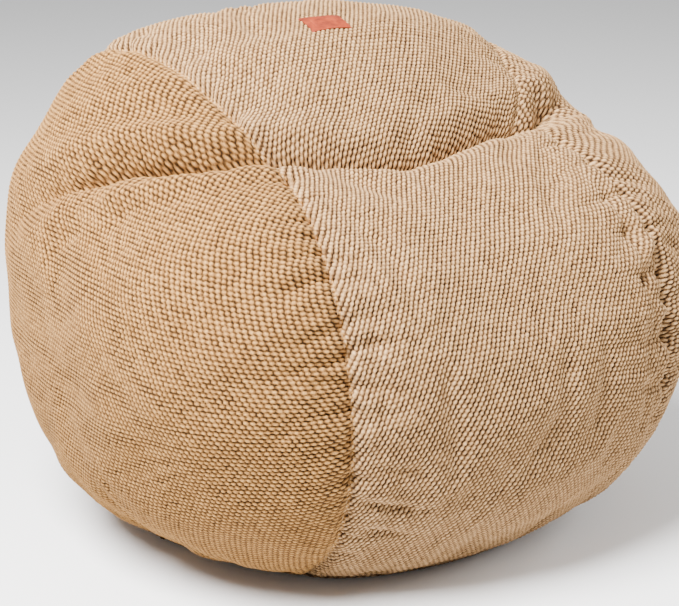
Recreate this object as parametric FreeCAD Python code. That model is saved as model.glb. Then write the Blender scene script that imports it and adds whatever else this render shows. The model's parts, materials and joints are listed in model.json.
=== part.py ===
"""Bean bag chair: a round bag with a seat crease across its top, in millimetres.

The origin is on the floor under the middle of the chair, +Z is up, and the sitter
faces -Y. The outline blends three ellipsoids, a round body, a tall back lobe
and a lower front lobe, which leave the crease between them. Every layer, from the
cover to the foam, is that outline taken inwards along its own normal.
"""
import FreeCAD, Part
import math
import os

from FreeCAD import Vector

os.makedirs("parts", exist_ok=True)

# Body outline: three ellipsoids, centred on the chair's middle plane at (Y, Z)
HEART_HEIGHT = 285.0
BODY_CENTRE = (-5.0, HEART_HEIGHT)
BODY_HALF_WIDTH = 697.0
BODY_HALF_DEPTH = 449.0
BODY_RISE = 217.0
BODY_DROP = 353.0
BACK_CENTRE = (143.0, 412.0)
BACK_HALF_WIDTH = 615.0
BACK_HALF_DEPTH = 303.0
BACK_RISE = 366.0
FRONT_CENTRE = (-136.0, 334.0)
FRONT_HALF_WIDTH = 678.0
FRONT_HALF_DEPTH = 296.0
FRONT_RISE = 257.0
SEAT_DIP = 26.0
SEAT_DIP_SPREAD = 0.5
ARM_LIFT = 160.0
CREASE_SOFTNESS = 12.0
CREASE_FADE = 150.0
BODY_BLEND = 46.0

# The fabric's pull, which rounds the sides in before the ellipsoids' own ends
SIDE_LIMIT = 560.0
SIDE_ROUNDING = 203.0
SIDE_EASE = 0.3

# Fabric and the gaps between layers
SEAM_LEAN = 31.8
SEAM_GAP = 1.0
COVER_THICKNESS = 3.0
OVERLOCK_THICKNESS = 1.0
OVERLOCK_WIDTH = 8.0
LINER_THICKNESS = 1.0
LAYER_GAP = 1.0
FOAM_GAP = 7.0
FOAM_REACH = 0.97

# Base panel
BASE_SEAM_HEIGHT = 12.0
BASE_TUCK = 3.0
BASE_CURL = 15.0
CURL_KNEE = 4.0
HEM_WIDTH = 26.0
HEM_THICKNESS = 3.0
HEM_END_MARGIN = 8.0

# Zip across the base
ZIP_LENGTH = 460.0
ZIP_GAP = 16.0
ZIP_END_ROOM = 35.0
TAPE_WIDTH = 18.0
TAPE_THICKNESS = 0.8
TAPE_SHOWING = 4.0
TAPE_END = 12.0
TOOTH_PITCH = 4.0
TOOTH_WIDTH = 2.4
TOOTH_LENGTH = 2.0
TOOTH_HEIGHT = 2.4
CHAIN_SLOT = 1.2
CHAIN_BAR = 1.4
STOP_LENGTH = 4.0
SLIDER_LENGTH = 12.0
SLIDER_WIDTH = 10.0
SLIDER_PLATE = 0.9
SLIDER_CLEARANCE = 0.4
SLIDER_WEB = 0.8
SLIDER_WEB_LENGTH = 4.0
SLIDER_CORNER = 2.5
SLIDER_END_ROOM = 1.0
BAIL_PIN_RADIUS = 0.6
BAIL_PIN_CLEARANCE = 0.15
BAIL_WIDTH = 6.0
BAIL_CHEEK = 1.2
BAIL_POST = 3.0
BAIL_PLAY = 0.8
BAIL_OFFSET = 1.0
TAB_LENGTH = 26.0
TAB_WIDTH = 7.0
TAB_THICKNESS = 1.2
TAB_CORNER = 2.2
TAB_EYE_WALL = 0.6
TAB_HOLE_RADIUS = 1.6
TAB_HOLE_INSET = 5.0

# Leather label on the back lobe
LABEL_WIDTH = 66.0
LABEL_HEIGHT = 44.0
LABEL_THICKNESS = 2.0
LABEL_SINK = 0.3
LABEL_ANGLE = 95.5
LABEL_LEAN = -2.3

# Sizes that follow
OVERLOCK_DEPTH = COVER_THICKNESS + LAYER_GAP
LINER_DEPTH = OVERLOCK_DEPTH + OVERLOCK_THICKNESS + LAYER_GAP
FOAM_DEPTH = LINER_DEPTH + LINER_THICKNESS + FOAM_GAP
TAPE_BOTTOM = COVER_THICKNESS + HEM_THICKNESS
CHAIN_MIDDLE = TAPE_BOTTOM + TAPE_THICKNESS / 2
CHAIN_BOTTOM = CHAIN_MIDDLE - TOOTH_HEIGHT / 2
CHAIN_TOP = CHAIN_MIDDLE + TOOTH_HEIGHT / 2
SLIDER_TOP = CHAIN_TOP + SLIDER_CLEARANCE + SLIDER_PLATE
SLIDER_BOTTOM = CHAIN_BOTTOM - SLIDER_CLEARANCE - SLIDER_PLATE
LINER_BASE_BOTTOM = SLIDER_TOP + 2 * LAYER_GAP
LINER_BASE_TOP = LINER_BASE_BOTTOM + LINER_THICKNESS
FOAM_BOTTOM = LINER_BASE_TOP + LAYER_GAP
HEART = Vector(0, 0, HEART_HEIGHT)
FAR = 3 * SIDE_LIMIT
NORMAL_STEP = 0.004
SIDE_SPREAD = 1.05 / math.tan(math.radians(SEAM_LEAN))


def reach(way, centre, half_sizes):
    """Distance from the heart, along the unit vector way, to an ellipsoid's skin."""
    start = [(HEART[i] - centre[i]) / half_sizes[i] for i in range(3)]
    step = [way[i] / half_sizes[i] for i in range(3)]
    a = sum(s * s for s in step)
    b = sum(s * o for s, o in zip(step, start))
    c = sum(o * o for o in start) - 1
    return (math.sqrt(max(b * b - a * c, 0)) - b) / a


def blend_out(a, b, softness):
    """The larger of two lengths, rounded where they are about equal."""
    return (a + b + math.hypot(a - b, softness)) / 2


def outline_reach(way):
    """Distance from the heart to the cover's outer face along the unit vector way."""
    drop = BODY_RISE if way.z > 0 else BODY_DROP
    body = reach(way, (0, *BODY_CENTRE), (BODY_HALF_WIDTH, BODY_HALF_DEPTH, drop))
    back = reach(way, (0, *BACK_CENTRE), (BACK_HALF_WIDTH, BACK_HALF_DEPTH, BACK_RISE))
    front = reach(way, (0, *FRONT_CENTRE), (FRONT_HALF_WIDTH, FRONT_HALF_DEPTH, FRONT_RISE))
    front -= SEAT_DIP * math.exp(-(way.x / SEAT_DIP_SPREAD) ** 2)
    front += ARM_LIFT * way.x ** 2 * max(way.z, 0)
    crease = CREASE_SOFTNESS + CREASE_FADE * way.x ** 4
    full = blend_out(blend_out(back, front, crease), body, BODY_BLEND)
    limit = SIDE_LIMIT / math.hypot(way.x, SIDE_EASE)
    return (full + limit - math.hypot(full - limit, SIDE_ROUNDING)) / 2


def layer_point(way, depth):
    """The point along way of the layer that lies depth inside the outline."""
    across = way.cross(Vector(0, 0, 1) if abs(way.z) < 0.9 else Vector(1, 0, 0)).normalize()
    nudges = [side * NORMAL_STEP for side in (across, way.cross(across))]
    spans = []
    for nudge in nudges:
        ends = [(way + nudge).normalize(), (way - nudge).normalize()]
        spans.append(ends[0] * outline_reach(ends[0]) - ends[1] * outline_reach(ends[1]))
    normal = spans[0].cross(spans[1]).normalize()
    return HEART + way * (outline_reach(way) - depth / abs(normal.dot(way)))


def solve(value, low, high):
    """The argument between low and high at which a rising function reaches zero."""
    for _ in range(34):
        middle = (low + high) / 2
        if value(middle) < 0:
            low = middle
        else:
            high = middle
    return (low + high) / 2


def hoop_way(angle, lean):
    """A direction at angle up and over from the front, leaning towards +X."""
    turn, tilt = math.radians(angle), math.radians(lean)
    return Vector(math.sin(tilt), -math.cos(turn) * math.cos(tilt), math.sin(turn) * math.cos(tilt))


def slice_point(angle, x, depth):
    """The point of a layer at one X, at angle up and over from the front."""
    lean = solve(lambda t: layer_point(hoop_way(angle, t), depth).x - x, -89.5, 89.5)
    return layer_point(hoop_way(angle, lean), depth)


def floor_ring(height, depth, inset=0.0, count=48):
    """Points round a layer at one height, drawn in towards the middle by inset."""
    points = []
    for i in range(count):
        turn = 2 * math.pi * i / count
        flat = Vector(math.cos(turn), math.sin(turn), 0)

        def rise(tilt, flat=flat):
            way = flat * math.cos(tilt) + Vector(0, 0, math.sin(tilt))
            return layer_point(way, depth).z - height

        tilt = solve(rise, math.radians(-75), 0)
        point = layer_point(flat * math.cos(tilt) + Vector(0, 0, math.sin(tilt)), depth)
        points.append(Vector(point.x, point.y, height) - flat * inset)
    return points


def closed_wire(points):
    curve = Part.BSplineCurve()
    curve.interpolate(points, PeriodicFlag=True)
    return Part.Wire([curve.toShape()])


def box(low, high):
    size = [b - a for a, b in zip(low, high)]
    return Part.makeBox(*size, Vector(*low))


def patch(rows):
    surface = Part.BSplineSurface()
    surface.interpolate(rows)
    return surface.toShape()


def slab(outer_rows, inner_rows):
    """A closed solid between two faces that are laid out alike."""
    outer, inner = patch(outer_rows), patch(inner_rows)
    walls = [Part.makeRuledSurface(a, b) for a, b in zip(outer.Edges, inner.Edges)]
    shell = Part.makeCompound([outer, inner] + walls)
    shell.sewShape(0.01)
    solid = Part.makeSolid(shell.Shells[0])
    if solid.Volume < 0:
        solid.reverse()
    return solid


def spaced(low, high, count):
    return [low + (high - low) * i / (count - 1) for i in range(count)]


def hoop_slab(depths, leans, angles):
    """A piece of a layer that runs up and over; angles gives each hoop's own run."""
    return slab(*[[[layer_point(hoop_way(a, t), d) for a in angles(t, d)] for t in leans] for d in depths])


def whole_hoop(bottom):
    """Angles of a hoop from one height at the front, over the top, to it at the rear."""
    def angles(lean, depth):
        front = solve(lambda a: layer_point(hoop_way(a, lean), depth).z - bottom, -85, 0)
        rear = solve(lambda a: bottom - layer_point(hoop_way(a, lean), depth).z, 180, 265)
        return spaced(front, rear, 116)

    return angles


def band_layer(depth, thickness, bottom):
    """The middle panel, from seam to seam, less half the gap at each."""
    edge = SEAM_LEAN - math.degrees(SEAM_GAP / BODY_HALF_DEPTH)
    return hoop_slab((depth, depth + thickness), spaced(-edge, edge, 15), whole_hoop(bottom))


def side_layer(depth, thickness, bottom):
    """The +X panel: everything inside the cone that the seam lies on."""
    slopes = spaced(-SIDE_SPREAD, SIDE_SPREAD, 51)
    rows = [[[layer_point(Vector(1, p, q).normalize(), d) for p in slopes] for q in slopes]
            for d in (depth, depth + thickness)]
    cone = Part.makeCone(0, FAR / math.tan(math.radians(SEAM_LEAN)), FAR, HEART, Vector(1, 0, 0))
    return slab(*rows).common(cone).common(box((0, -FAR, bottom), (FAR, FAR, FAR)))


def mirrored(shape):
    return shape.mirror(Vector(0, 0, 0), Vector(1, 0, 0))


def base_dish():
    """The base panel: flat on the floor, with its edge curled up to the base seam."""
    def bowl(thickness):
        heights = (thickness, CURL_KNEE + thickness / 2, BASE_SEAM_HEIGHT)
        insets = (BASE_CURL, BASE_CURL / 3, 0.0)
        rings = [floor_ring(BASE_SEAM_HEIGHT, 0, BASE_TUCK + thickness + inset) for inset in insets]
        level = [[Vector(p.x, p.y, z) for p in ring] for ring, z in zip(rings, heights)]
        return Part.makeLoft([closed_wire(ring) for ring in level], True, True)

    dish = bowl(0).cut(bowl(COVER_THICKNESS))
    hem = box((-hem_end(), -ZIP_GAP / 2 - HEM_WIDTH, COVER_THICKNESS),
              (hem_end(), ZIP_GAP / 2 + HEM_WIDTH, TAPE_BOTTOM))
    slot = box((-slot_end(), -ZIP_GAP / 2, -1), (slot_end(), ZIP_GAP / 2, TAPE_BOTTOM + 1))
    return dish.fuse(hem).cut(slot).removeSplitter()


def slot_end():
    return ZIP_LENGTH / 2 + ZIP_END_ROOM


def hem_end():
    return slot_end() + HEM_END_MARGIN


def zip_tape():
    """The front tape, sewn under its hem and reaching in to the chain."""
    end = ZIP_LENGTH / 2 + TAPE_END
    inner = -CHAIN_SLOT / 2 - TOOTH_LENGTH - CHAIN_BAR
    return box((-end, -ZIP_GAP / 2 - TAPE_WIDTH + TAPE_SHOWING, TAPE_BOTTOM),
               (end, inner, TAPE_BOTTOM + TAPE_THICKNESS))


def zip_teeth():
    """One half of the chain: a bar along the tape's edge with teeth towards the middle."""
    root = -CHAIN_SLOT / 2 - TOOTH_LENGTH
    x = -ZIP_LENGTH / 2
    count = int(ZIP_LENGTH / TOOTH_PITCH)
    points = [Vector(x, root - CHAIN_BAR, CHAIN_BOTTOM)]
    for i in range(count):
        left = x + i * TOOTH_PITCH + (TOOTH_PITCH - TOOTH_WIDTH) / 2
        for px, py in ((left, root), (left, -CHAIN_SLOT / 2),
                       (left + TOOTH_WIDTH, -CHAIN_SLOT / 2), (left + TOOTH_WIDTH, root)):
            points.append(Vector(px, py, CHAIN_BOTTOM))
    points.insert(1, Vector(x, root, CHAIN_BOTTOM))
    points.append(Vector(x + count * TOOTH_PITCH, root, CHAIN_BOTTOM))
    points.append(Vector(x + count * TOOTH_PITCH, root - CHAIN_BAR, CHAIN_BOTTOM))
    points.append(points[0])
    return Part.Face(Part.makePolygon(points)).extrude(Vector(0, 0, TOOTH_HEIGHT))


def slider_x():
    return ZIP_LENGTH / 2 - SLIDER_LENGTH / 2 - SLIDER_END_ROOM


def pin_place():
    below = BAIL_PIN_RADIUS + BAIL_PIN_CLEARANCE + TAB_THICKNESS / 2
    return Vector(slider_x() + BAIL_OFFSET, 0, SLIDER_BOTTOM - below)


def rounded_plate(low, high, radius):
    plate = box(low, high)
    corners = [e for e in plate.Edges if abs(e.Vertexes[0].Z - e.Vertexes[-1].Z) > 1e-6]
    return plate.makeFillet(radius, corners)


def zip_slider():
    """Two plates joined by a web that runs in the slot between the teeth, with a bail below."""
    near, far = slider_x() - SLIDER_LENGTH / 2, slider_x() + SLIDER_LENGTH / 2
    half = SLIDER_WIDTH / 2
    lower = rounded_plate((near, -half, SLIDER_BOTTOM),
                          (far, half, SLIDER_BOTTOM + SLIDER_PLATE), SLIDER_CORNER)
    upper = rounded_plate((near, -half, SLIDER_TOP - SLIDER_PLATE), (far, half, SLIDER_TOP), SLIDER_CORNER)
    web_end = far - SLIDER_PLATE
    web = box((web_end - SLIDER_WEB_LENGTH, -SLIDER_WEB / 2, SLIDER_BOTTOM + SLIDER_PLATE / 2),
              (web_end, SLIDER_WEB / 2, SLIDER_TOP - SLIDER_PLATE / 2))
    pin = pin_place()
    body = lower.fuse([upper, web])
    for side in (-1, 1):
        inner, outer = side * BAIL_WIDTH / 2, side * (BAIL_WIDTH / 2 + BAIL_CHEEK)
        body = body.fuse(box((pin.x - BAIL_POST / 2, min(inner, outer), pin.z - BAIL_POST / 3),
                             (pin.x + BAIL_POST / 2, max(inner, outer), SLIDER_BOTTOM + SLIDER_PLATE / 2)))
    length = BAIL_WIDTH + BAIL_CHEEK
    rod = Part.makeCylinder(BAIL_PIN_RADIUS, length, Vector(pin.x, -length / 2, pin.z), Vector(0, 1, 0))
    return body.fuse(rod).removeSplitter()


def zip_pull_tab():
    """The flat pull, which hangs on the bail's pin through a round eye."""
    pin = pin_place()
    eye = BAIL_WIDTH - BAIL_PLAY
    bore_radius = BAIL_PIN_RADIUS + BAIL_PIN_CLEARANCE
    rim = bore_radius + TAB_EYE_WALL
    neck = box((pin.x - TAB_LENGTH * 0.3, -eye / 2, pin.z - TAB_THICKNESS / 2),
               (pin.x, eye / 2, pin.z + TAB_THICKNESS / 2))
    blade = rounded_plate((pin.x - TAB_LENGTH, -TAB_WIDTH / 2, pin.z - TAB_THICKNESS / 2),
                          (pin.x - TAB_LENGTH * 0.25, TAB_WIDTH / 2, pin.z + TAB_THICKNESS / 2), TAB_CORNER)
    barrel = Part.makeCylinder(rim, eye, Vector(pin.x, -eye / 2, pin.z), Vector(0, 1, 0))
    bore = Part.makeCylinder(bore_radius, eye + 2, Vector(pin.x, -eye / 2 - 1, pin.z), Vector(0, 1, 0))
    hole_foot = Vector(pin.x - TAB_LENGTH + TAB_HOLE_INSET, 0, pin.z - TAB_THICKNESS)
    hole = Part.makeCylinder(TAB_HOLE_RADIUS, 2 * TAB_THICKNESS, hole_foot, Vector(0, 0, 1))
    return blade.fuse([neck, barrel]).cut(bore).cut(hole).removeSplitter()


def top_stops():
    start = ZIP_LENGTH / 2
    outer = CHAIN_SLOT / 2 + TOOTH_LENGTH + CHAIN_BAR
    stops = [box((start, low, CHAIN_BOTTOM), (start + STOP_LENGTH, low + outer - CHAIN_SLOT / 2, CHAIN_TOP))
             for low in (-outer, CHAIN_SLOT / 2)]
    return Part.makeCompound(stops)


def bottom_stop():
    outer = CHAIN_SLOT / 2 + TOOTH_LENGTH + CHAIN_BAR
    return box((-ZIP_LENGTH / 2 - STOP_LENGTH, -outer, CHAIN_BOTTOM), (-ZIP_LENGTH / 2, outer, CHAIN_TOP))


def across_zip(shape):
    return shape.mirror(Vector(0, 0, 0), Vector(0, 1, 0))


def seam_overlock():
    half = math.degrees(OVERLOCK_WIDTH / 2 / BODY_HALF_DEPTH)
    bottom = BASE_SEAM_HEIGHT + OVERLOCK_WIDTH + 3 * LAYER_GAP
    return hoop_slab((OVERLOCK_DEPTH, OVERLOCK_DEPTH + OVERLOCK_THICKNESS),
                     spaced(SEAM_LEAN - half, SEAM_LEAN + half, 3), whole_hoop(bottom))


def base_overlock():
    low = BASE_SEAM_HEIGHT + LAYER_GAP
    high = low + OVERLOCK_WIDTH

    def cone(depth):
        return Part.makeLoft([closed_wire(floor_ring(z, depth)) for z in (low, high)], True, True)

    return cone(OVERLOCK_DEPTH).cut(cone(OVERLOCK_DEPTH + OVERLOCK_THICKNESS))


def liner_base():
    ring = closed_wire(floor_ring(LINER_BASE_TOP, LINER_DEPTH))
    ring.translate(Vector(0, 0, -LINER_THICKNESS))
    return Part.Face(ring).extrude(Vector(0, 0, LINER_THICKNESS))


def leather_label():
    """A patch that lies on the back lobe, sunk a little into the cover's pile."""
    radius = outline_reach(hoop_way(LABEL_ANGLE, LABEL_LEAN))
    half_run, half_lean = (math.degrees(size / 2 / radius) for size in (LABEL_HEIGHT, LABEL_WIDTH))
    angles = spaced(LABEL_ANGLE - half_run, LABEL_ANGLE + half_run, 7)
    leans = spaced(LABEL_LEAN - half_lean, LABEL_LEAN + half_lean, 9)
    return hoop_slab((LABEL_SINK - LABEL_THICKNESS, LABEL_SINK), leans, lambda lean, depth: angles)


def foam_fill():
    """The filling: the outline inside the liner, lofted from side to side."""
    end = FOAM_REACH * layer_point(Vector(1, 0, 0), FOAM_DEPTH).x
    wires = []
    for turn in spaced(-90, 90, 19):
        x = end * math.sin(math.radians(turn))
        wires.append(closed_wire([slice_point(a, x, FOAM_DEPTH) for a in spaced(-90, 270, 97)[:-1]]))
    return Part.makeLoft(wires, True).common(box((-FAR, -FAR, FOAM_BOTTOM), (FAR, FAR, FAR)))


def save(name, shape):
    state = "valid" if shape.isValid() else "NOT VALID"
    print(name, state, len(shape.Solids), round(shape.Volume / 1000, 1), "cm3")
    shape.exportStep(f"parts/{name}.step")


def main():
    save("cover_centre_band", band_layer(0, COVER_THICKNESS, BASE_SEAM_HEIGHT))
    cover_side = side_layer(0, COVER_THICKNESS, BASE_SEAM_HEIGHT)
    save("cover_right_side", cover_side)
    save("cover_left_side", mirrored(cover_side))
    dish = base_dish()
    save("cover_base_front", dish.common(box((-FAR, -FAR, -1), (FAR, 0, FAR))))
    save("cover_base_rear", dish.common(box((-FAR, 0, -1), (FAR, FAR, FAR))))
    overlock = seam_overlock()
    save("right_seam_overlock", overlock)
    save("left_seam_overlock", mirrored(overlock))
    save("base_seam_overlock", base_overlock())
    save("leather_label", leather_label())
    save("zip_tape_front", zip_tape())
    save("zip_tape_rear", across_zip(zip_tape()))
    save("zip_teeth_front", zip_teeth())
    save("zip_teeth_rear", across_zip(zip_teeth()))
    save("zip_slider", zip_slider())
    save("zip_pull_tab", zip_pull_tab())
    save("zip_top_stops", top_stops())
    save("zip_bottom_stop", bottom_stop())
    save("liner_centre_band", band_layer(LINER_DEPTH, LINER_THICKNESS, LINER_BASE_TOP))
    liner_side = side_layer(LINER_DEPTH, LINER_THICKNESS, LINER_BASE_TOP)
    save("liner_right_side", liner_side)
    save("liner_left_side", mirrored(liner_side))
    save("liner_base", liner_base())
    save("foam_fill", foam_fill())


main()
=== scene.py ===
"""Looks of the bean bag chair: its stuffed cover in popcorn chenille, its leather tag and its zip.

The cover's shape is a ball drawn out onto the CAD's panels, filled and wrinkled as cloth.
Each panel is then a sheet laid on that shape, with folds pressed into it and tufts raised on it.
"""
import json
import math

import bpy
import numpy as np
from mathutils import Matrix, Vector
from mathutils.bvhtree import BVHTree

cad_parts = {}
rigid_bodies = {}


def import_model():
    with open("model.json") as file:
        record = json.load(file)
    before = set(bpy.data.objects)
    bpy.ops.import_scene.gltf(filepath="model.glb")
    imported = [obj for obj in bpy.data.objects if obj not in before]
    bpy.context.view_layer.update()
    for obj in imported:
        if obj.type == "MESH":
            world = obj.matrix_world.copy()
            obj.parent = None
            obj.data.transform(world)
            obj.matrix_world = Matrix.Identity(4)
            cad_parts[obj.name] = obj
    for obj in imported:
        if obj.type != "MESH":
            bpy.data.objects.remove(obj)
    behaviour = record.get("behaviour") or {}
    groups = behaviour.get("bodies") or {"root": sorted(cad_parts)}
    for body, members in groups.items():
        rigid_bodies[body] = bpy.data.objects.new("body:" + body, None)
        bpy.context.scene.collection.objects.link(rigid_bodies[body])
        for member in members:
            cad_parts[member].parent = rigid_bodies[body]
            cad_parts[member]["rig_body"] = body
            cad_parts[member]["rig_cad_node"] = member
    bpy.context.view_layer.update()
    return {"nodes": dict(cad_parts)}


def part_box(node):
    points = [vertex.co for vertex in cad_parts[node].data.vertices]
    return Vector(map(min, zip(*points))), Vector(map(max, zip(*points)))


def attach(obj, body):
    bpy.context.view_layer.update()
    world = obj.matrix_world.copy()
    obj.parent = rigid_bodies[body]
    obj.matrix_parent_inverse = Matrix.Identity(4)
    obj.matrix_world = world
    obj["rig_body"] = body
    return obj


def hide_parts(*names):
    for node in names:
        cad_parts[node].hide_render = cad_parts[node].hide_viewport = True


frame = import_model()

MM = 0.001
HEART = np.array([0.0, 0.0, 0.285])      # middle of the stuffing, which every panel is laid round
# How far the long seams lean out from the middle: the cover sits a little turned on its stuffing
SEAM_LEAN = {-1: math.radians(31.8), 1: math.radians(38.0)}
BASE_SEAM = 0.012                        # height of the seam round the base
SEAM_TUCK = math.radians(0.4)            # how far a panel's edge turns in past its seam
PILE_LIFT = 1.5 * MM                     # how far the cloth's middle stands off the stuffed shape
SLACK = 75 * MM                          # from the cover to the inner sack, past the deepest fold
TUFT_PITCH, ROW_PITCH = 8.0 * MM, 6.6 * MM
TUFT_HEIGHT = 3.0 * MM
STITCH = 2.0 * MM                        # spacing of the cloth's mesh, four to a tuft
TAG_TURN = math.radians(-4)              # how far the tag is sewn off square

COVER = ["cover_centre_band", "cover_left_side", "cover_right_side",
         "cover_base_front", "cover_base_rear"]


# --- Hands: selecting and adding -------------------------------------------------------

def rest_hands():
    """Nothing selected, nothing being edited."""
    if bpy.context.object and bpy.context.object.mode != "OBJECT":
        bpy.ops.object.mode_set(mode="OBJECT")
    bpy.ops.object.select_all(action="DESELECT")


def take(piece):
    """The piece alone is selected and active."""
    rest_hands()
    piece.select_set(True)
    bpy.context.view_layer.objects.active = piece
    return piece


def named(name):
    piece = bpy.context.object
    piece.name = piece.data.name = name
    return piece


def settle(piece):
    """The piece's place goes into its mesh, and its object sits at the origin."""
    take(piece)
    bpy.ops.object.transform_apply(location=True, rotation=True, scale=True)
    return piece


def press_on(piece, kind, **settings):
    """Adds a modifier with its settings and applies it."""
    take(piece)
    modifier = piece.modifiers.new(kind.title(), kind)
    for key, value in settings.items():
        setattr(modifier, key, value)
    bpy.ops.object.modifier_apply(modifier=modifier.name)


def points_of(piece):
    found = np.empty(len(piece.data.vertices) * 3, np.float32)
    piece.data.vertices.foreach_get("co", found)
    return found.reshape(-1, 3).astype(float)


def put_points(piece, points):
    piece.data.vertices.foreach_set("co", points.astype(np.float32).ravel())
    piece.data.update()


def mm(*point):
    return np.array(point, float) * MM


# --- Directions from the heart ----------------------------------------------------------

def hoop_way(hoop, lean):
    """Unit vectors: hoop 0 is the front, 90 degrees the top; lean goes towards +X."""
    return np.stack([np.sin(lean), -np.cos(hoop) * np.cos(lean), np.sin(hoop) * np.cos(lean)], -1)


def lean_of(way):
    return np.arcsin(np.clip(way[..., 0], -1, 1))


def from_seam(way):
    """The angle between a direction and the long seam on its side."""
    lean = lean_of(way)
    return np.abs(np.abs(lean) - np.where(lean < 0, SEAM_LEAN[-1], SEAM_LEAN[1]))


def unit(v):
    return v / np.maximum(np.linalg.norm(v, axis=-1, keepdims=True), 1e-12)


def skin_reach(skin, ways, start=1.2):
    """Distance from the heart to the skin, looking in from outside along each way."""
    nudges = [(0, 0, 0), (0.004, 0.003, 0.002), (-0.003, 0.004, -0.004), (0.005, -0.004, 0.005)]
    found = np.empty(len(ways))
    for i, way in enumerate(ways):
        for nudge in nudges:
            w = Vector(way + np.array(nudge)).normalized()
            hit = skin.ray_cast(Vector(HEART) + w * start, -w)
            reach = (hit[0] - Vector(HEART)).dot(w) if hit[0] else 0
            if reach > 0.2:
                break
        # Below, the zip's slot lets a look through, and the floor is where the base lies
        floor = HEART[2] / -way[2] if way[2] < -0.1 else 9.0
        found[i] = min(reach, floor) if reach > 0.2 else floor
    return found


# --- The stuffed shape ------------------------------------------------------------------

def cover_copy():
    """One merged copy of the cover's panels, to lay the new cloth on."""
    copies = []
    for name in COVER:
        copy = frame["nodes"][name].copy()
        copy.data = copy.data.copy()
        copy.parent = None
        bpy.context.scene.collection.objects.link(copy)
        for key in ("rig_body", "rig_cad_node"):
            if key in copy:
                del copy[key]
        copies.append(copy)
    rest_hands()
    for copy in copies:
        copy.select_set(True)
    bpy.context.view_layer.objects.active = copies[0]
    bpy.ops.object.join()
    whole = named("cover_form")
    bpy.ops.object.mode_set(mode="EDIT")
    bpy.ops.mesh.select_all(action="SELECT")
    bpy.ops.mesh.remove_doubles(threshold=1e-5)
    bpy.ops.object.mode_set(mode="OBJECT")
    return whole


# Where the stuffing sits fuller, or slacker where the rise is below 0: middle, spread, rise, in mm
LUMPS = [
    ((-290, 225, 690), (130, 160, 100), 24), ((-440, 235, 500), (90, 130, 90), 12),
    ((-460, 220, 330), (80, 130, 90), 8), ((-375, -70, 40), (120, 120, 80), -22),
    ((-250, -165, 5), (90, 90, 50), -10), ((-400, -45, 548), (75, 55, 55), 12),
    ((400, -90, 560), (75, 110, 65), 26), ((410, 30, 585), (60, 80, 60), 14),
    ((365, 80, 650), (70, 90, 60), 6),
    ((430, -270, 440), (80, 80, 70), -10), ((370, -325, 180), (90, 90, 80), -13),
    ((0, 130, 775), (260, 140, 60), -3),
]


def fuller(points):
    """How much further out each point of the stuffing goes."""
    rise = np.zeros(points.shape[:-1])
    for middle, spread, most in LUMPS:
        away = np.linalg.norm((points - mm(*middle)) / (np.array(spread) * MM), axis=-1)
        rise += most * MM * np.exp(-away ** 2)
    return rise


def stuffing_ball():
    """A ball of even facets pulled out onto the cover, then smoothed."""
    form = cover_copy()
    skin = BVHTree.FromObject(form, bpy.context.evaluated_depsgraph_get())
    bpy.ops.object.delete()
    rest_hands()
    bpy.ops.mesh.primitive_ico_sphere_add(subdivisions=7, radius=0.3, location=HEART)
    ball = settle(named("stuffing"))
    ways = unit(points_of(ball) - HEART)
    put_points(ball, HEART + ways * skin_reach(skin, ways)[:, None])
    press_on(ball, "SMOOTH", factor=0.5, iterations=3)
    points = points_of(ball)
    points += ways * fuller(points)[:, None]
    points[:, 2] = np.maximum(points[:, 2], 0)
    put_points(ball, points)
    return ball


def fill_out(ball):
    """The cloth is blown up a little against its seams, which hold it, so it wrinkles beside them."""
    still = points_of(ball)
    ways = unit(still - HEART)
    by_seam = from_seam(ways) * np.linalg.norm(still - HEART, axis=1)
    held = np.where((by_seam < 0.005) | (still[:, 2] < 0.022), 1.0, 0.0)
    group = ball.vertex_groups.new(name="sewn")
    for i in np.nonzero(held)[0]:
        group.add([int(i)], 1.0, "REPLACE")
    take(ball)
    cloth = ball.modifiers.new("Cloth", "CLOTH")
    cloth.settings.vertex_group_mass = "sewn"
    cloth.settings.use_pressure = True
    cloth.settings.uniform_pressure_force = 3.0
    cloth.settings.shrink_min = -0.035
    cloth.settings.tension_stiffness = 25
    cloth.settings.compression_stiffness = 25
    cloth.settings.bending_stiffness = 0.6
    cloth.settings.quality = 4
    cloth.settings.effector_weights.gravity = 0
    cloth.collision_settings.use_collision = False
    cloth.point_cache.frame_start, cloth.point_cache.frame_end = 1, 20
    for day in range(1, 21):
        bpy.context.scene.frame_set(day)
    bpy.ops.object.modifier_apply(modifier=cloth.name)
    bpy.context.scene.frame_set(1)
    moved = points_of(ball) - still
    swell = np.einsum("ij,ij->i", moved, ways)
    calm = swell.copy()
    edges = np.empty(len(ball.data.edges) * 2, np.int32)
    ball.data.edges.foreach_get("vertices", edges)
    a, b = edges[::2], edges[1::2]
    near = np.bincount(a, minlength=len(calm)) + np.bincount(b, minlength=len(calm))
    for _ in range(80):
        calm = (np.bincount(a, calm[b], len(calm)) + np.bincount(b, calm[a], len(calm))) / near
    # The wide swell is already in the form, so only the wrinkles are kept, up to 9 mm
    wrinkle = np.clip(swell - calm, -9 * MM, 9 * MM)
    put_points(ball, still + ways * wrinkle[:, None])


# --- Folds, puckers and dimples pressed into the cloth ----------------------------------

# The seat crease, from the left arm over the seat to the right arm, and how deep it is there. The
# places were worked out outside this script and rounded, and the depths were chosen
CREASE = [(-470, 190, 480, 5), (-450, 95, 540, 20), (-415, 25, 575, 38), (-390, 0, 588, 48),
          (-340, -45, 592, 52), (-290, -78, 592, 45), (-200, -95, 595, 34), (-120, -115, 585, 23),
          (-55, -130, 575, 20), (0, -135, 570, 20), (55, -130, 575, 20), (120, -115, 585, 22),
          (200, -95, 595, 24), (290, -78, 595, 28), (345, -38, 603, 30), (392, 15, 600, 28),
          (425, 70, 575, 16), (455, 140, 530, 3)]
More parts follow.
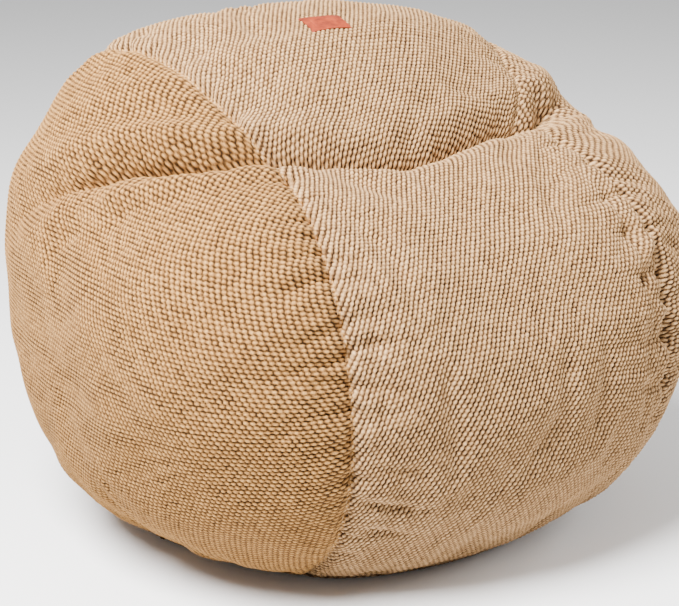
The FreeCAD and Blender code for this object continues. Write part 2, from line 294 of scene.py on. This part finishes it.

# Folds: start, end, depth (a rise is below 0) and half width, in millimetres. The depths and widths
# were chosen, and most starts and ends were worked out outside this script, then rounded
FOLDS = [
    # front lobe, below the left end of the crease
    ((-385, -45, 565), (-335, -70, 580), 7, 10), ((-360, -125, 565), (-300, -95, 585), 7, 12),
    ((-380, -160, 550), (-305, -110, 583), 5, 10), ((-425, -15, 530), (-375, -30, 575), 8, 13),
    ((-430, -60, 520), (-370, -75, 560), 5, 14), ((-345, -110, 570), (-290, -92, 588), -6, 10),
    ((-300, -150, 572), (-262, -105, 588), 6, 11), ((-440, 20, 530), (-405, 5, 568), 7, 11),
    # back lobe, above the crease
    ((10, -118, 590), (55, -96, 632), 12, 19), ((88, -72, 660), (72, -102, 620), 8, 23),
    ((255, -60, 625), (180, -130, 590), 8, 22), ((-60, -110, 620), (-75, -80, 660), 5, 23),
    ((-190, -70, 640), (-175, -90, 610), 5, 20), ((-285, -45, 620), (-300, -65, 600), 7, 17),
    # gathered cloth behind the right arm
    ((305, -38, 620), (345, -40, 605), 15, 12), ((330, -10, 625), (390, -10, 590), 14, 12),
    ((285, -60, 615), (330, -52, 600), 11, 10), ((350, 15, 620), (410, 20, 580), 12, 13),
    ((315, -22, 628), (372, -25, 603), -9, 12), ((345, 5, 625), (400, 5, 592), -9, 12),
    # front lobe, drawn from the right seam
    ((235, -290, 535), (235, -240, 560), 5, 17), ((290, -300, 500), (215, -365, 458), 9, 14),
    ((300, -350, 450), (245, -388, 415), 8, 12), ((300, -330, 475), (250, -370, 440), -5, 13),
    ((160, -425, 350), (245, -408, 338), 4, 10), ((170, -435, 315), (245, -413, 305), 4, 10),
    ((185, -436, 285), (245, -415, 272), 4, 10),
    # deepest puckers on the left seam
    ((-240, -385, 412), (-150, -408, 400), 7, 10), ((-243, -405, 355), (-165, -426, 343), 5, 9),
    ((-238, -396, 188), (-140, -415, 168), 11, 10), ((-234, -415, 246), (-160, -432, 232), 8, 9),
    ((-228, -372, 138), (-148, -385, 124), 8, 10), ((-250, -340, 486), (-195, -350, 478), 5, 10),
]


def near_line(points, start, end):
    """Distance from each point to a line, and how far along it, 0 to 1, the nearest place is."""
    along = end - start
    t = ((points - start) @ along) / (along @ along)
    t = np.clip(t, 0, 1)
    return np.linalg.norm(points - (start + t[..., None] * along), axis=-1), t


def press_line(points, depth, line, how_deep, half_width, ends=True):
    """Presses one fold into depth, deepest at its middle and gone at its ends."""
    start, end = (np.asarray(p, float) * MM for p in line)
    reach = 2.6 * half_width * MM
    low, high = np.minimum(start, end) - reach, np.maximum(start, end) + reach
    close = np.nonzero(((points > low) & (points < high)).all(-1))
    if not len(close[0]):
        return
    d, t = near_line(points[close], start, end)
    taper = np.sin(np.pi * np.clip(0.12 + 0.76 * t, 0, 1)) if ends else 1 - 0.85 * t
    depth[close] += how_deep * MM * taper * np.exp(-(d / (half_width * MM)) ** 2)


def crease_depth(points):
    """The groove of the seat crease, with the swell of the cloth on both sides of it."""
    stops = np.array(CREASE, float)
    nearest = np.full(points.shape[:-1], 1.0)
    deep = np.zeros(points.shape[:-1])
    for a, b in zip(stops[:-1], stops[1:]):
        d, t = near_line(points, a[:3] * MM, b[:3] * MM)
        better = d < nearest
        nearest = np.where(better, d, nearest)
        deep = np.where(better, (a[3] + (b[3] - a[3]) * t) * MM, deep)
    groove = deep * (0.6 * np.exp(-(nearest / (8.5 * MM)) ** 2)
                     + 0.4 * np.exp(-(nearest / (22 * MM)) ** 2))
    swell = 0.35 * deep * np.exp(-((nearest - 48 * MM) / (24 * MM)) ** 2)
    return groove - swell


def puckers(points, depth, draw, side, hoops, reach, deep, seed):
    """Short creases drawn from one long seam into the cloth on both sides of it, unevenly."""
    hand = np.random.default_rng(seed)
    for hoop in hoops:
        for out in (-1, 1):
            if hand.random() < 0.2:
                continue
            h = math.radians(hoop + hand.uniform(-1.6, 1.6))
            length = math.radians(reach * hand.uniform(0.5, 1.3))
            tilt = math.radians(hand.uniform(-2.5, 2.5))
            leans = side * (SEAM_LEAN[side] + np.array([0, out * length]))
            ends = hoop_way(np.array([h, h + tilt]), leans)
            press_line(points, depth, (HEART + ends * draw(ends)[:, None]) / MM,
                       deep * hand.uniform(0.5, 1.3), hand.uniform(7.0, 11.5), ends=False)


def seam_valley(points):
    """The cloth turns in to each sewn seam."""
    ways = unit(points - HEART)
    away = from_seam(ways) * np.linalg.norm(points - HEART, axis=-1)
    low = np.abs(points[..., 2] - BASE_SEAM)
    return 7.0 * MM * np.exp(-(away / (7 * MM)) ** 2) + 3.0 * MM * np.exp(-(low / (7 * MM)) ** 2)


def ripple(points, wave, seed, count=14):
    """Slow uneven waves over the cloth, about -1 to 1, so many metres long."""
    hand = np.random.default_rng(seed)
    total = np.zeros(points.shape[:-1])
    for _ in range(count):
        way = unit(hand.normal(size=3)) * 2 * math.pi / (wave * hand.uniform(0.7, 1.4))
        total += np.sin(points @ way + hand.uniform(0, 2 * math.pi))
    return total / math.sqrt(count / 2) / 2


def pressed_in(points, draw, with_puckers=True):
    """How far each point of the cloth goes in towards the heart."""
    depth = crease_depth(points) + seam_valley(points)
    depth += 4.0 * MM * ripple(points, 0.2, 5) + 2.4 * MM * ripple(points, 0.09, 6)
    for start, end, how_deep, half_width in FOLDS:
        press_line(points, depth, (start, end), how_deep, half_width)
    front, rear = range(-24, 64, 5), range(84, 204, 7)
    for side in (-1, 1) if with_puckers else ():
        puckers(points, depth, draw, side, front, 9.5, 9.0, 21 + side)
        puckers(points, depth, draw, side, rear, 8.5, 5.5, 31 + side)
    return depth


# --- Cloth panels -----------------------------------------------------------------------

def tufts(u, v, hand_seed, wide=0.50, tall=0.55, slant=0.16):
    """Popcorn tufts in a half-drop: their height, 0 in the gaps to 1 on top, and a shade for each."""
    u = u / TUFT_PITCH
    v = v / ROW_PITCH
    row = np.floor(v)
    best = np.full(u.shape, -1.0)
    shade = np.zeros(u.shape)
    for step in (-1, 0, 1):
        r = row + step
        shift = 0.5 * np.mod(r, 2)
        y = v - r - 0.5
        lean = slant * y
        col = np.floor(u + shift - lean)
        x = u + shift - lean - col - 0.5
        mark = np.sin(col * 12.9898 + r * 78.233 + hand_seed) * 43758.5453
        mark = mark - np.floor(mark)
        other = np.sin(col * 39.346 + r * 11.135 + hand_seed) * 24634.6345
        other = other - np.floor(other)
        x = x + 0.06 * (other - 0.5)
        y = y + 0.07 * (mark - 0.5)
        size = 0.94 + 0.12 * other
        high = 1 - (x / (wide * size)) ** 2 - (y / (tall * size)) ** 2
        shade = np.where(high > best, mark, shade)
        best = np.maximum(best, high)
    return np.sqrt(np.clip(best, 0, 1)), shade


def normals_of(grid):
    """Outward normals over a grid of points."""
    across, along = np.gradient(grid, axis=0), np.gradient(grid, axis=1)
    n = unit(np.cross(across, along))
    return n * np.sign(np.einsum("ijk,ijk->ij", n, grid - HEART))[..., None]


def cloth_grid(name, across, along):
    """A flat sheet of even faces, across by along."""
    rest_hands()
    bpy.ops.mesh.primitive_grid_add(x_subdivisions=across, y_subdivisions=along, size=2)
    piece = named(name)
    flat = points_of(piece)
    i = np.rint((flat[:, 0] + 1) / 2 * across).astype(int)
    j = np.rint((flat[:, 1] + 1) / 2 * along).astype(int)
    return piece, i, j


def finish_cloth(piece, i, j, grid, u, v, height, shade):
    """The sheet's points go to their places, with its cloth map, bake map and tuft attributes."""
    put_points(piece, grid[i, j])
    mesh = piece.data
    corner = np.empty(len(mesh.loops), np.int32)
    mesh.loops.foreach_get("vertex_index", corner)
    while mesh.uv_layers:
        mesh.uv_layers.remove(mesh.uv_layers[0])
    cloth_map = mesh.uv_layers.new(name="Cloth")
    cloth_map.uv.foreach_set("vector", np.stack([u[i, j], v[i, j]], -1)[corner].astype(np.float32).ravel())
    spread = np.stack([i / i.max(), j / j.max()], -1) * 0.996 + 0.002
    bake_map = mesh.uv_layers.new(name="OFBake")
    bake_map.uv.foreach_set("vector", spread[corner].astype(np.float32).ravel())
    for key, values in (("pile", height), ("fleck", shade)):
        attribute = mesh.attributes.new(key, "FLOAT", "POINT")
        attribute.data.foreach_set("value", values[i, j].astype(np.float32))
    take(piece)
    bpy.ops.object.shade_smooth()
    bpy.ops.object.mode_set(mode="EDIT")
    bpy.ops.mesh.select_all(action="SELECT")
    bpy.ops.mesh.normals_make_consistent(inside=False)
    bpy.ops.object.mode_set(mode="OBJECT")
    # A sheet is open, so the outward side is told from its middle face
    middle = mesh.polygons[len(mesh.polygons) // 2]
    if np.dot(np.array(middle.normal), np.array(middle.center) - HEART) < 0:
        bpy.ops.object.mode_set(mode="EDIT")
        bpy.ops.mesh.select_all(action="SELECT")
        bpy.ops.mesh.flip_normals()
        bpy.ops.object.mode_set(mode="OBJECT")
    return piece


def lay(name, ways, u, v, draw, seed, **tuft):
    """Lays a sheet of cloth on the stuffed shape, presses its folds in and raises its tufts."""
    shape = ways.shape[:2]
    reach = draw(ways.reshape(-1, 3)).reshape(shape)
    rough = HEART + ways * reach[..., None]
    inwards = pressed_in(rough, draw)
    smooth = HEART + ways * (reach - inwards + PILE_LIFT)[..., None]
    smooth[..., 2] = np.maximum(smooth[..., 2], BASE_SEAM)
    # The rows wander by up to about 0.8 mm, as woven rows do
    u = u + 0.8 * MM * ripple(rough, 0.12, seed)
    v = v + 0.8 * MM * ripple(rough, 0.11, seed + 1)
    height, shade = tufts(u, v, seed, **tuft)
    grid = smooth + normals_of(smooth) * ((height - 0.45) * TUFT_HEIGHT)[..., None]
    piece, i, j = cloth_grid(name, shape[0] - 1, shape[1] - 1)
    return finish_cloth(piece, i, j, grid, u, v, height, shade)


def base_hoops(draw, lean):
    """The hoop angles, front and rear, at which a line of that lean meets the base seam."""
    hoops = np.radians(np.linspace(-75, 255, 661))
    ways = hoop_way(hoops, np.full(hoops.shape, lean))
    heights = HEART[2] + ways[:, 2] * draw(ways)
    above = np.nonzero(heights > BASE_SEAM)[0]
    first, last = above[0], above[-1]

    def between(a, b):
        share = (BASE_SEAM - heights[a]) / (heights[b] - heights[a])
        return hoops[a] + share * (hoops[b] - hoops[a])

    return between(first - 1, first), between(last + 1, last)


def lay_band(draw):
    """The centre band, from the base seam in front, up over the seat and down the back."""
    leans = np.linspace(-SEAM_LEAN[-1], SEAM_LEAN[1], 25)
    ends = np.array([base_hoops(draw, lean) for lean in leans])
    middle = np.linspace(*ends[12], 400)
    line = hoop_way(middle, np.zeros(400))
    line = HEART + line * draw(line)[:, None]
    run = np.concatenate([[0], np.cumsum(np.linalg.norm(np.diff(line, axis=0), axis=1))])
    rows = int(run[-1] / (STITCH * 0.9))
    share = np.interp(np.linspace(0, run[-1], rows + 1), run, np.linspace(0, 1, 400))
    columns = int((SEAM_LEAN[-1] + SEAM_LEAN[1]) * 0.5 / STITCH)
    lean = np.linspace(-SEAM_LEAN[-1] - SEAM_TUCK, SEAM_LEAN[1] + SEAM_TUCK, columns + 1)
    low, high = (np.interp(lean, leans, ends[:, k]) for k in (0, 1))
    hoop = low[:, None] + (high - low)[:, None] * share[None]
    ways = hoop_way(hoop, np.broadcast_to(lean[:, None], hoop.shape))
    cloth = HEART + ways * draw(ways)[..., None]
    steps = np.linalg.norm(np.diff(cloth, axis=0), axis=-1)
    u = np.concatenate([np.zeros((1, len(share))), np.cumsum(steps, axis=0)])
    u = u - u[columns // 2]
    steps = np.linalg.norm(np.diff(cloth, axis=1), axis=-1)
    v = np.concatenate([np.zeros((columns + 1, 1)), np.cumsum(steps, axis=1)], axis=1)
    return lay("centre_band", ways, u, v, draw, 3, wide=0.46, tall=0.60, slant=0.26)


def lay_side(draw, side, name, seed):
    """One side panel, from its middle out to the long seam and down to the base seam."""
    hoops = np.radians(np.arange(-180, 181, 2.0))
    seam = math.pi / 2 - SEAM_LEAN[side] + SEAM_TUCK
    edge = np.empty(hoops.shape)
    for k, hoop in enumerate(hoops):
        out = np.linspace(0.2, seam, 120)
        ways = hoop_way(np.full(120, hoop), side * (math.pi / 2 - out))
        high = HEART[2] + ways[:, 2] * draw(ways) > BASE_SEAM
        low = np.nonzero(~high)[0]
        # Only the lower half meets the base seam
        edge[k] = out[low[0]] if len(low) and (hoop < 0 or abs(hoop) > 3) else seam
    count = int(2 * 0.46 * 1.02 / STITCH)
    a, b = np.meshgrid(np.linspace(-1, 1, count + 1), np.linspace(-1, 1, count + 1), indexing="ij")
    x, y = a * np.sqrt(1 - b * b / 2), b * np.sqrt(1 - a * a / 2)
    share, hoop = np.hypot(x, y), np.arctan2(y, -x)
    out = share * np.interp(hoop, hoops, edge)
    ways = hoop_way(hoop, side * (math.pi / 2 - out))
    reach = draw(ways)
    reach = (reach + reach[count // 2, count // 2]) / 2
    u, v = -out * reach * np.cos(hoop), out * reach * np.sin(hoop)
    return lay(name, ways, u, v, draw, seed, wide=0.52, tall=0.52, slant=0.2)


def base_rim(draw, side, angles):
    """Where the base seam runs on the floor plan, one point for each bearing."""
    rim = np.empty((len(angles), 2))
    for k, angle in enumerate(angles):
        drop = np.linspace(-0.35, -1.1, 90)
        flat = np.full(90, np.cos(angle)), np.full(90, side * np.sin(angle))
        ways = unit(np.stack([*flat, drop], -1))
        heights = HEART[2] + ways[:, 2] * draw(ways)
        below = np.nonzero(heights < BASE_SEAM)[0][0]
        share = (heights[below - 1] - BASE_SEAM) / (heights[below - 1] - heights[below])
        way = unit(ways[below - 1] * (1 - share) + ways[below] * share)
        reach = draw(way[None])
        inwards = pressed_in(HEART + way[None] * reach[:, None], draw, with_puckers=False)
        rim[k] = (way * (reach - inwards + PILE_LIFT)[0])[:2]
    return rim


def lay_base(draw, side, name, seed):
    """Half of the base: it turns under from the base seam and lies flat as far as the zip."""
    slot_half_length, slot_half_width, meeting = 268 * MM, 8.2 * MM, 0.2 * MM
    curl, columns, rows = 16 * MM, 300, 130
    angles = np.linspace(0, math.pi, 361)
    rim = base_rim(draw, side, angles)
    widest = np.abs(rim[:, 0]).max() - 1.5 * MM
    x = widest * np.sin(np.linspace(-math.pi / 2, math.pi / 2, columns + 1))
    order = np.argsort(rim[:, 0])
    edge = np.interp(x, rim[order, 0], np.abs(rim[order, 1]))
    inner = np.where(np.abs(x) < slot_half_length, slot_half_width, meeting)
    share = 1 - (1 - np.linspace(0, 1, rows + 1)) ** 1.5
    y = inner[:, None] + np.maximum(edge - inner, 0)[:, None] * share[None]
    x = np.broadcast_to(x[:, None], y.shape)
    out = np.interp(np.arctan2(y, x), angles, np.linalg.norm(rim, axis=1))
    inset = np.clip(out - np.hypot(x, y), 0, None)
    turn = np.sqrt(np.clip(1 - (1 - inset / curl) ** 2, 0, 1))
    z = np.where(inset < curl, BASE_SEAM * (1 - turn), 0)
    flat = np.stack([x, side * y, z + 0.3 * MM], -1)
    height, shade = tufts(x, y + 0.3, seed)
    raised = np.clip(1 - inset / (30 * MM), 0.0, 1) * (z > 1 * MM)
    away = unit(np.stack([x, side * y, np.zeros(x.shape)], -1))
    grid = flat + away * ((height - 0.5) * TUFT_HEIGHT * 0.8 * raised)[..., None]
    piece, i, j = cloth_grid(name, columns, rows)
    return finish_cloth(piece, i, j, grid, x, y, height, shade)


# --- Finishes ---------------------------------------------------------------------------

NOISE, MATH, MIX = "ShaderNodeTexNoise", "ShaderNodeMath", "ShaderNodeMix"


def linear(colour):
    """sRGB hex to the linear numbers a shader takes."""
    parts = [int(colour[k:k + 2], 16) / 255 for k in (1, 3, 5)]
    return [c / 12.92 if c <= 0.04045 else ((c + 0.055) / 1.055) ** 2.4 for c in parts] + [1.0]


def add(material, kind, settings=(), links=()):
    """One node, with its settings on names or sockets and its links into sockets."""
    node = material.node_tree.nodes.new(kind)
    for key, value in dict(settings).items():
        if isinstance(key, str) and hasattr(node, key) and key not in node.inputs:
            setattr(node, key, value)
        else:
            node.inputs[key].default_value = value
    for key, output in dict(links).items():
        material.node_tree.links.new(output, node.inputs[key])
    return node


def finish_named(name, roughness, colour="#808080", metallic=0.0):
    """A new material with its shader, ready for colour and bump."""
    material = bpy.data.materials.new(name)
    material.use_nodes = True
    shader = material.node_tree.nodes["Principled BSDF"]
    shader.inputs["Base Color"].default_value = linear(colour)
    shader.inputs["Roughness"].default_value = roughness
    shader.inputs["Metallic"].default_value = metallic
    return material, shader


def ramp(material, factor, *stops):
    """Colours along a factor, from (place, hex) pairs."""
    node = add(material, "ShaderNodeValToRGB", links={"Fac": factor})
    line = node.color_ramp
    while len(line.elements) < len(stops):
        line.elements.new(0.5)
    for element, (place, colour) in zip(line.elements, stops):
        element.position, element.color = place, linear(colour)
    return node.outputs["Color"]


def wired(material, shader, colour, bump):
    material.node_tree.links.new(colour, shader.inputs["Base Color"])
    material.node_tree.links.new(bump.outputs["Normal"], shader.inputs["Normal"])
    return material


def popcorn_chenille(name, gap_painted_shade, shade, body, tip_painted_highlight):
    """Brushed polyester chenille: fat soft tufts, with painted shade in the gaps and a painted highlight on
    top, slightly velvety.
    """
    material, shader = finish_named(name, 0.92)
    shader.inputs["Specular IOR Level"].default_value = 0.08
    shader.inputs["Sheen Weight"].default_value = 0.08
    shader.inputs["Sheen Roughness"].default_value = 0.5
    shader.inputs["Sheen Tint"].default_value = linear("#e8d2b4")
    place = add(material, "ShaderNodeTexCoord").outputs["Object"]
    pile = add(material, "ShaderNodeAttribute", {"attribute_name": "pile"}).outputs["Fac"]
    fleck = add(material, "ShaderNodeAttribute", {"attribute_name": "fleck"}).outputs["Fac"]
    # Fibre ends about 1.4 mm apart roughen each tuft's outline
    fuzz = add(material, NOISE, {"Scale": 700.0, "Detail": 2.0}, {"Vector": place}).outputs["Fac"]
    # Fibres of two dye lots cloud the colour over about 60 mm
    cloud = add(material, NOISE, {"Scale": 16.0, "Detail": 3.0}, {"Vector": place}).outputs["Fac"]
    painted_pile_shading = add(material, MATH, {"operation": "MULTIPLY_ADD", 1: 0.8, 2: -0.44}, {0: fuzz})
    painted_pile_shading = add(material, MATH, {"operation": "ADD", "use_clamp": True},
                     {0: pile, 1: painted_pile_shading.outputs[0]}).outputs[0]
    # Painted shade darkens the gaps between the tufts and a painted highlight pales their tops
    colour = ramp(material, painted_pile_shading, (0.0, gap_painted_shade), (0.42, shade), (0.72, body), (1.0, tip_painted_highlight))
    lot = add(material, MATH, {"operation": "MULTIPLY_ADD", 1: 0.5, 2: 0.0}, {0: fleck}).outputs[0]
    lot = add(material, MATH, {"operation": "MULTIPLY_ADD", 1: 0.5}, {0: cloud, 2: lot}).outputs[0]
    tone = ramp(material, lot, (0.1, "#d9d2c8"), (0.55, "#f4f1ec"), (0.9, "#ffffff"))
    mixed = add(material, MIX, {"data_type": "RGBA", "blend_type": "MULTIPLY", 0: 1.0},
                {6: colour, 7: tone})
    # Painted shade: the cloth is darkened towards the bottom, where less of the light from above falls
    height = add(material, "ShaderNodeSeparateXYZ", links={0: place}).outputs["Z"]
    painted_low_shade = add(material, "ShaderNodeMapRange", {"From Max": 0.52, "To Min": 0.56},
               {"Value": height}).outputs[0]
    mixed = add(material, MIX, {"data_type": "RGBA", "blend_type": "MULTIPLY", 0: 1.0},
                {6: mixed.outputs[2], 7: painted_low_shade})
    bump = add(material, "ShaderNodeBump", {"Strength": 0.6, "Distance": 0.001}, {"Height": fuzz})
    return wired(material, shader, mixed.outputs[2], bump)


def leather(name):
    """Vegetable-tanned leather, dyed rust and pressed: fine pores and a waxy sheen."""
    material, shader = finish_named(name, 0.55)
    place = add(material, "ShaderNodeTexCoord").outputs["Object"]
    pores = add(material, "ShaderNodeTexVoronoi", {"Scale": 1400.0}, {"Vector": place}).outputs["Distance"]
    cloud = add(material, NOISE, {"Scale": 90.0, "Detail": 4.0}, {"Vector": place}).outputs["Fac"]
    colour = ramp(material, cloud, (0.3, "#66210c"), (0.55, "#8a3110"), (0.8, "#9f421c"))
    bump = add(material, "ShaderNodeBump", {"Strength": 0.35, "Distance": 0.0003}, {"Height": pores})
    return wired(material, shader, colour, bump)


def sewn_cloth(name, low, high, thread, roughness=0.85):
    """Plain woven or sewn threads: a crossing grid of rounded yarns, so many threads to the metre."""
    material, shader = finish_named(name, roughness)
    place = add(material, "ShaderNodeTexCoord").outputs["Object"]
    warp, weft = (add(material, "ShaderNodeTexWave",
                      {"bands_direction": axis, "Scale": thread / 20, "Distortion": 0.4},
                      {"Vector": place}).outputs["Fac"] for axis in ("X", "Y"))
    cross = add(material, MATH, {"operation": "MULTIPLY"}, {0: warp, 1: weft}).outputs[0]
    colour = ramp(material, cross, (0.0, low), (0.5, high), (1.0, high))
    bump = add(material, "ShaderNodeBump", {"Strength": 0.5, "Distance": 0.0003}, {"Height": cross})
    return wired(material, shader, colour, bump)


def hard_finish(name, roughness, low, high, metallic, grain):
    """Cast zinc with a nickel wash, or moulded acetal: faint flow marks vary its colour and ripple its
    surface.
    """
    material, shader = finish_named(name, roughness, metallic=metallic)
    place = add(material, "ShaderNodeTexCoord").outputs["Object"]
    flow = add(material, NOISE, {"Scale": grain, "Detail": 4.0}, {"Vector": place}).outputs["Fac"]
    colour = ramp(material, flow, (0.3, low), (0.7, high))
    bump = add(material, "ShaderNodeBump", {"Strength": 0.15, "Distance": 0.0001}, {"Height": flow})
    return wired(material, shader, colour, bump)


def dress(piece, material):
    piece.data.materials.clear()
    piece.data.materials.append(material)


# --- The leather tag --------------------------------------------------------------------

def leather_tag(draw):
    """A sewn tag whose corners are tacked down, with a pressed border and bar."""
    low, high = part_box("leather_label")
    middle = (np.array(low) + np.array(high)) / 2
    up = unit(middle - HEART)
    across = unit(np.array([math.cos(TAG_TURN), math.sin(TAG_TURN), 0]))
    down = unit(np.cross(up, across))
    across = unit(np.cross(down, up))
    half_w, half_h = 33 * MM, 22 * MM
    columns, rows = 88, 60
    a, b = np.meshgrid(np.linspace(-1, 1, columns + 1), np.linspace(-1, 1, rows + 1), indexing="ij")
    # Tacked only at its corners, so its edges draw in a little
    x, y = a * half_w * (1 - 0.07 * (1 - b ** 2)), b * half_h * (1 - 0.10 * (1 - a ** 2))
    ways = unit(up + (across * x[..., None] + down * y[..., None]) / np.linalg.norm(middle - HEART))
    reach = draw(ways.reshape(-1, 3)).reshape(x.shape)
    rough = HEART + ways * reach[..., None]
    reach = reach - pressed_in(rough, draw) + PILE_LIFT
    belly = 2.2 * MM * (1 - a ** 2) * (1 - b ** 2) + 3.0 * MM - 1.6 * MM * (np.abs(a * b)) ** 6
    edge_w, edge_h, line = half_w * 0.62, half_h * 0.5, 0.9 * MM
    border = np.exp(-((np.abs(x) - edge_w) / line) ** 2) * (np.abs(y) < edge_h)
    border += np.exp(-((np.abs(y) - edge_h) / line) ** 2) * (np.abs(x) < edge_w)
    bar = np.exp(-(y / (2.2 * MM)) ** 4) * (np.abs(x) < half_w * 0.40)
    pressed = np.clip(border, 0, 1) * 0.5 * MM + bar * 0.6 * MM
    grid = HEART + ways * (reach + belly - pressed)[..., None]
    piece, i, j = cloth_grid("leather_tag", columns, rows)
    finish_cloth(piece, i, j, grid, x, y, 1 - np.clip(border + bar, 0, 1), np.zeros(x.shape))
    press_on(piece, "SOLIDIFY", thickness=2.0 * MM, offset=-1)
    take(piece)
    bpy.ops.object.shade_smooth_by_angle(angle=math.radians(50))
    return piece


def inner_sack(draw):
    """The closed inner sack that holds the foam, slack enough to follow the crease."""
    rest_hands()
    bpy.ops.mesh.primitive_ico_sphere_add(subdivisions=6, radius=0.3, location=HEART)
    sack = settle(named("inner_sack"))
    ways = unit(points_of(sack) - HEART)
    points = HEART + ways * (draw(ways) - SLACK)[:, None]
    points[:, 2] = np.maximum(points[:, 2], 0.020)
    put_points(sack, points)
    press_on(sack, "SMOOTH", factor=0.5, iterations=4)
    bpy.ops.object.shade_smooth()
    return sack


# --- Making the chair -------------------------------------------------------------------

ball = stuffing_ball()
fill_out(ball)
press_on(ball, "SUBSURF", levels=1, render_levels=1)
stuffed = BVHTree.FromObject(ball, bpy.context.evaluated_depsgraph_get())
bpy.data.objects.remove(ball)


def draw(ways):
    """Distance from the heart to the stuffed shape."""
    flat = ways.reshape(-1, 3)
    found = np.empty(len(flat))
    heart = Vector(HEART)
    for k, way in enumerate(flat.tolist()):
        w = Vector(way)
        hit = stuffed.ray_cast(heart, w)
        found[k] = hit[3] if hit[0] is not None else 0.4
    return found.reshape(ways.shape[:-1])


band = lay_band(draw)
left = lay_side(draw, -1, "left_side_panel", 7)
right = lay_side(draw, 1, "right_side_panel", 11)
base_front = lay_base(draw, -1, "base_front_half", 13)
base_rear = lay_base(draw, 1, "base_rear_half", 17)
tag = leather_tag(draw)
sack = inner_sack(draw)

# The left side's nap lies the other way, which turns it a little more golden
# Each chenille's first colour is painted shade for the gaps and its last a painted highlight for the tuft
# tops
band_chenille = popcorn_chenille("popcorn chenille, nap across", "#2b1c10", "#6e5034", "#b08a5e", "#e5bb88")
side_chenille = popcorn_chenille("popcorn chenille, nap down", "#291a0c", "#684827", "#a27643", "#d6a461")
tag_leather = leather("rust tanned leather")
zip_tape = sewn_cloth("woven polyester zip tape", "#54402b", "#8d6d4a", 1400)
liner = sewn_cloth("spun polyester liner", "#cfc8bb", "#ebe6dc", 1200)
zip_coil = hard_finish("moulded acetal zip teeth", 0.42, "#5b432b", "#7a5d3e", 0.0, 300)
zip_zinc = hard_finish("cast zinc, nickel washed", 0.32, "#8f8b84", "#b9b4aa", 1.0, 200)

for piece, cloth in ((band, band_chenille), (left, side_chenille), (right, band_chenille),
                     (base_front, band_chenille), (base_rear, band_chenille), (tag, tag_leather),
                     (sack, liner)):
    dress(piece, cloth)
# The zip alone is seen as it was drawn: every other node has a piece that stands for it
for name, node in frame["nodes"].items():
    for start, finish in (("zip_tape", zip_tape), ("zip_teeth", zip_coil), ("zip", zip_zinc)):
        if name.startswith(start):
            dress(node, finish)
            break

for piece, node in ((band, "cover_centre_band"), (left, "cover_left_side"), (right, "cover_right_side"),
                    (base_front, "cover_base_front"), (base_rear, "cover_base_rear")):
    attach(piece, "bag")
    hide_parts(node)
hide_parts("base_seam_overlock")
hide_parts("left_seam_overlock")
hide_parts("right_seam_overlock")
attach(sack, "bag")
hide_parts("foam_fill", "liner_centre_band", "liner_left_side", "liner_right_side", "liner_base")
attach(tag, "bag")
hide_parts("leather_label")

# --- Floor, light and camera ------------------------------------------------------------

rest_hands()
bpy.ops.mesh.primitive_plane_add(size=30, location=(0, 0, -0.0005))
floor = named("studio_floor")
floor_paint, _ = finish_named("matt white floor", 0.9, "#ffffff")
dress(floor, floor_paint)

world = bpy.data.worlds.new("studio")
bpy.context.scene.world = world
world.use_nodes = True
world.node_tree.nodes["Background"].inputs["Color"].default_value = (1, 1, 1, 1)
world.node_tree.nodes["Background"].inputs["Strength"].default_value = 0.45


def soft_box(name, place, aim, size, watts, colour=(1, 1, 1)):
    rest_hands()
    bpy.ops.object.light_add(type="AREA", location=place)
    lamp = bpy.context.object
    lamp.name = name
    lamp.data.shape = "DISK"
    lamp.data.size = size
    lamp.data.energy = watts
    lamp.data.color = colour
    lamp.rotation_euler = (Vector(aim) - Vector(place)).to_track_quat("-Z", "Y").to_euler()


soft_box("key", (-1.9, -0.8, 3.0), (0, 0, 0.3), 1.9, 620)
soft_box("fill", (2.9, -1.3, 1.9), (0, 0, 0.3), 2.2, 95)

AZIMUTH, ELEVATION, DISTANCE = math.radians(-31.9), math.radians(16.7), 3.04
back = Vector((math.sin(AZIMUTH) * math.cos(ELEVATION), -math.cos(AZIMUTH) * math.cos(ELEVATION),
               math.sin(ELEVATION)))
right_hand = Vector((math.cos(AZIMUTH), math.sin(AZIMUTH), 0))
upwards = back.cross(right_hand)
target = Vector((0, 0, 0.342))
rest_hands()
bpy.ops.object.camera_add(location=target + back * DISTANCE)
camera = bpy.context.object
aim = target - right_hand * 0.0196 - upwards * 0.0124
camera.rotation_euler = (aim - camera.location).to_track_quat("-Z", "Y").to_euler()
camera.data.sensor_width = 36
camera.data.lens = 105.4
camera.data.clip_end = 100
bpy.context.scene.camera = camera
